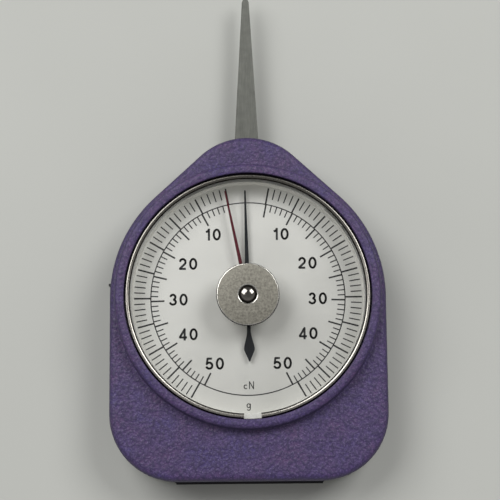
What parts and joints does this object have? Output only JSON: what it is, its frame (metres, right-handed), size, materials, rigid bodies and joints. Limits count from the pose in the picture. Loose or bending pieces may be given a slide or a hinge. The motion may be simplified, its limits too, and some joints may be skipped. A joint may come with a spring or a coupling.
{
  "type": "dial tension gauge",
  "caption": "Pocket dial tension gauge with a long tapered feeler at the nose, a round glazed dial, a pointer, a drag hand and a knurled reset knob.",
  "frame": {"origin": "on the dial axis, at the flat rear face of the rear cover", "axes": "+Z out of the dial, towards the viewer; +Y along the feeler, from the dial axis through the nose; +X to the right of the dial, seen from the front"},
  "size_m": [0.062, 0.1114, 0.0161],
  "materials": {
    "purple_paint": "fine wrinkle paint",
    "black_cover": "matte black paint",
    "crystal_glass": "polished",
    "dial_silver": "satin silver",
    "grey_steel": "fine brushed",
    "bright_steel": "polished",
    "nickel": "matte nickel plate",
    "brass": "satin",
    "spring_steel": "blued",
    "black_hand": "blue black",
    "red_hand": "dark red"
  },
  "bodies": {
    "case": {"front_housing": "purple_paint", "rear_cover": "black_cover", "rear_cover_screw_1": "grey_steel", "rear_cover_screw_2": "grey_steel", "rear_cover_screw_3": "grey_steel", "rear_cover_screw_4": "grey_steel", "dial_plate": "dial_silver", "spacer_ring": "bright_steel", "crystal": "crystal_glass", "snap_ring": "bright_steel", "crystal_bush": "brass", "crystal_bush_nut": "brass", "friction_washer": "spring_steel", "movement_front_plate": "brass", "movement_back_plate": "brass", "front_plate_screw_1": "grey_steel", "front_plate_screw_2": "grey_steel", "front_plate_screw_3": "grey_steel", "front_plate_screw_4": "grey_steel", "pillar_1": "brass", "pillar_2": "brass", "pillar_3": "brass", "pillar_screw_1": "grey_steel", "pillar_screw_2": "grey_steel", "pillar_screw_3": "grey_steel", "pointer_front_bush": "brass", "pointer_rear_bush": "brass", "feeler_front_bush": "brass", "feeler_rear_bush": "brass", "zero_post": "grey_steel", "stop_pin_right": "grey_steel", "stop_pin_left": "grey_steel", "hairspring_stud": "brass", "leaf_spring_right": "spring_steel", "leaf_spring_left": "spring_steel", "spring_block_right": "brass", "spring_block_left": "brass", "spring_block_screw_right": "grey_steel", "spring_block_screw_left": "grey_steel"},
    "feeler": {"feeler_blade": "grey_steel", "sector_gear": "brass", "feeler_arbor": "grey_steel", "feeler_rivet_right": "brass", "feeler_rivet_left": "brass", "drive_pin": "grey_steel"},
    "pointer": {"pinion_arbor": "grey_steel", "pointer_hub": "brass", "pointer_hand": "black_hand", "pusher_pin": "grey_steel", "hairspring_collet": "brass", "hairspring": "spring_steel"},
    "drag_pointer": {"reset_knob": "nickel", "drag_arbor": "bright_steel", "drag_hub": "brass", "drag_hand": "red_hand"}
  },
  "joints": [
    {"name": "feeler_swing", "type": "hinge", "parent": "case", "child": "feeler", "pos_m": [0, 0.0245, 0.0052], "axis": [0, 0, 1], "range_deg": [-12.2, 12.2], "stiffness_Nm_per_rad": 0.109, "deforming": ["leaf_spring_right", "leaf_spring_left"]},
    {"name": "pointer_spin", "type": "hinge", "parent": "case", "child": "pointer", "pos_m": [0, 0, 0.0052], "axis": [0, 0, 1], "range_deg": [-159, 159], "deforming": ["hairspring"]},
    {"name": "drag_hand_turn", "type": "hinge", "parent": "case", "child": "drag_pointer", "pos_m": [0, 0, 0.0125], "axis": [0, 0, 1], "range_deg": [-170.6, 147.4]}
  ],
  "couplings": [
    {"joint": "pointer_spin", "follows": "feeler_swing", "ratio": -13}
  ]
}
